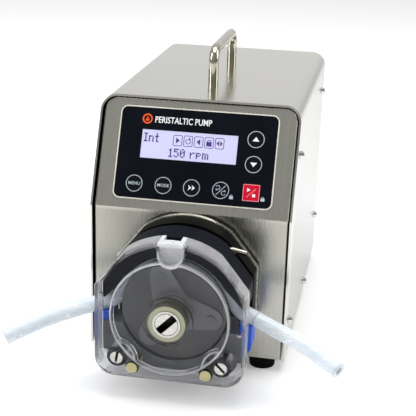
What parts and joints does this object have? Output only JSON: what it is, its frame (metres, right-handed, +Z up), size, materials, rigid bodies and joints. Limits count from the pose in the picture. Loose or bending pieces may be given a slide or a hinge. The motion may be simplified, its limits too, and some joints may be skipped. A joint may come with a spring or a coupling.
{
  "type": "peristaltic pump",
  "caption": "Bench peristaltic pump: steel case with keypad, display and carry handle, and a clear-fronted roller head with soft tube.",
  "frame": {"origin": "centre of the bounding box's footprint, without the loose tube ends, at the bottom of the rubber feet", "axes": "+Z up, -Y towards the pump head and keypad, +X to the right seen from the front"},
  "size_m": [0.2474, 0.3365, 0.2348],
  "materials": {
    "wrap_steel": "brushed",
    "panel_steel": "brushed",
    "screw_steel": "polished",
    "handle_chrome": "polished",
    "foot_rubber": "matte",
    "rim_cream": "satin",
    "keypad_navy": "satin",
    "key_navy": "satin",
    "key_red": "satin",
    "window_clear": "clear",
    "display_face": "satin",
    "board_green": "satin",
    "fitting_black": "satin",
    "pin_brass": "polished",
    "signal_shell": "satin",
    "mount_aluminium": "satin",
    "motor_black": "satin",
    "head_silver": "satin",
    "head_black": "satin",
    "block_grey": "satin",
    "jaw_black": "satin",
    "bearing_steel": "polished",
    "shaft_steel": "turned",
    "carrier_grey": "satin",
    "roller_steel": "satin",
    "cover_clear": "clear",
    "bush_cream": "satin",
    "keeper_blue": "satin",
    "tube_soft": "satin"
  },
  "bodies": {
    "case": {"wrap_cover": "wrap_steel", "side_screws": "screw_steel", "front_panel": "panel_steel", "base_plate": "panel_steel", "rear_panel": "panel_steel", "carry_handle": "handle_chrome", "handle_screws": "screw_steel", "rubber_feet": "foot_rubber", "foot_screws": "screw_steel", "keypad_rim": "rim_cream", "keypad_overlay": "keypad_navy", "display_window": "window_clear", "display_module": "display_face", "keypad_board": "board_green", "power_inlet": "fitting_black", "inlet_pins": "pin_brass", "fuse_drawer": "fitting_black", "switch_frame": "fitting_black", "signal_connector": "signal_shell", "rear_screws": "screw_steel", "motor_mount": "mount_aluminium", "motor_body": "motor_black", "motor_screws": "screw_steel", "power_supply": "mount_aluminium", "control_board": "board_green", "board_standoffs": "pin_brass", "head_flange": "mount_aluminium", "back_plate": "head_silver", "head_body": "head_black", "rear_bearing": "bearing_steel", "lower_block": "block_grey", "guide_posts": "screw_steel", "front_cover": "cover_clear", "front_bush": "bush_cream", "cover_screws": "screw_steel", "dowel_pins": "pin_brass", "tube_in_head": "tube_soft", "tube_tail_left": "tube_soft", "tube_tail_right": "tube_soft"},
    "rotor": {"motor_shaft": "shaft_steel", "rotor_shaft": "shaft_steel", "rear_carrier": "carrier_grey", "front_carrier": "carrier_grey", "roller_axles": "shaft_steel"},
    "first_roller": {"roller_1": "roller_steel"},
    "second_roller": {"roller_2": "roller_steel"},
    "third_roller": {"roller_3": "roller_steel"},
    "lever": {"cam_lever": "shaft_steel", "lever_pin": "handle_chrome"},
    "jaw": {"upper_jaw": "jaw_black"},
    "left_keeper": {"keeper_left": "keeper_blue"},
    "right_keeper": {"keeper_right": "keeper_blue"},
    "rocker": {"power_rocker": "fitting_black"},
    "menu_key": {"key_menu": "key_navy"},
    "mode_key": {"key_mode": "key_navy"},
    "fast_key": {"key_fast": "key_navy"},
    "direction_key": {"key_direction": "key_navy"},
    "up_key": {"key_up": "key_navy"},
    "down_key": {"key_down": "key_navy"},
    "start_stop_key": {"key_start_stop": "key_red"}
  },
  "joints": [
    {"name": "rotor_spin", "type": "hinge", "parent": "case", "child": "rotor", "pos_m": [0, -0.13, 0.0678], "axis": [0, 1, 0], "continuous": true},
    {"name": "first_roller_spin", "type": "hinge", "parent": "rotor", "child": "first_roller", "pos_m": [0.02716, -0.13, 0.0635], "axis": [0, 1, 0], "continuous": true},
    {"name": "second_roller_spin", "type": "hinge", "parent": "rotor", "child": "second_roller", "pos_m": [-0.00985, -0.13, 0.09347], "axis": [0, 1, 0], "continuous": true},
    {"name": "third_roller_spin", "type": "hinge", "parent": "rotor", "child": "third_roller", "pos_m": [-0.01731, -0.13, 0.04643], "axis": [0, 1, 0], "continuous": true},
    {"name": "lever_swing", "type": "hinge", "parent": "case", "child": "lever", "pos_m": [0, -0.1148, 0.0678], "axis": [0, -1, 0], "range_deg": [0, 65]},
    {"name": "jaw_lift", "type": "slide", "parent": "case", "child": "jaw", "axis": [0, 0, 1], "range_m": [0, 0.01]},
    {"name": "left_keeper_slide", "type": "slide", "parent": "case", "child": "left_keeper", "axis": [0, 0, -1], "range_m": [0, 0.006]},
    {"name": "right_keeper_slide", "type": "slide", "parent": "case", "child": "right_keeper", "axis": [0, 0, -1], "range_m": [0, 0.006]},
    {"name": "power_rock", "type": "hinge", "parent": "case", "child": "rocker", "pos_m": [0.002, 0.16165, 0.06], "axis": [0, 0, 1], "range_deg": [0, 14]},
    {"name": "menu_press", "type": "slide", "parent": "case", "child": "menu_key", "axis": [0, 0.909, -0.4169], "range_m": [0, 0.0004], "stiffness_N_per_m": 1500, "springref_m": -0.0001},
    {"name": "mode_press", "type": "slide", "parent": "case", "child": "mode_key", "axis": [0, 0.909, -0.4169], "range_m": [0, 0.0004], "stiffness_N_per_m": 1500, "springref_m": -0.0001},
    {"name": "fast_press", "type": "slide", "parent": "case", "child": "fast_key", "axis": [0, 0.909, -0.4169], "range_m": [0, 0.0004], "stiffness_N_per_m": 1500, "springref_m": -0.0001},
    {"name": "direction_press", "type": "slide", "parent": "case", "child": "direction_key", "axis": [0, 0.909, -0.4169], "range_m": [0, 0.0004], "stiffness_N_per_m": 1500, "springref_m": -0.0001},
    {"name": "up_press", "type": "slide", "parent": "case", "child": "up_key", "axis": [0, 0.909, -0.4169], "range_m": [0, 0.0004], "stiffness_N_per_m": 1500, "springref_m": -0.0001},
    {"name": "down_press", "type": "slide", "parent": "case", "child": "down_key", "axis": [0, 0.909, -0.4169], "range_m": [0, 0.0004], "stiffness_N_per_m": 1500, "springref_m": -0.0001},
    {"name": "start_stop_press", "type": "slide", "parent": "case", "child": "start_stop_key", "axis": [0, 0.909, -0.4169], "range_m": [0, 0.0004], "stiffness_N_per_m": 1500, "springref_m": -0.0001}
  ],
  "couplings": [
    {"joint": "first_roller_spin", "follows": "rotor_spin", "ratio": -3.8947},
    {"joint": "second_roller_spin", "follows": "rotor_spin", "ratio": -3.8947},
    {"joint": "third_roller_spin", "follows": "rotor_spin", "ratio": -3.8947},
    {"joint": "lever_swing", "follows": "jaw_lift", "rad_per_m": 113.44}
  ]
}
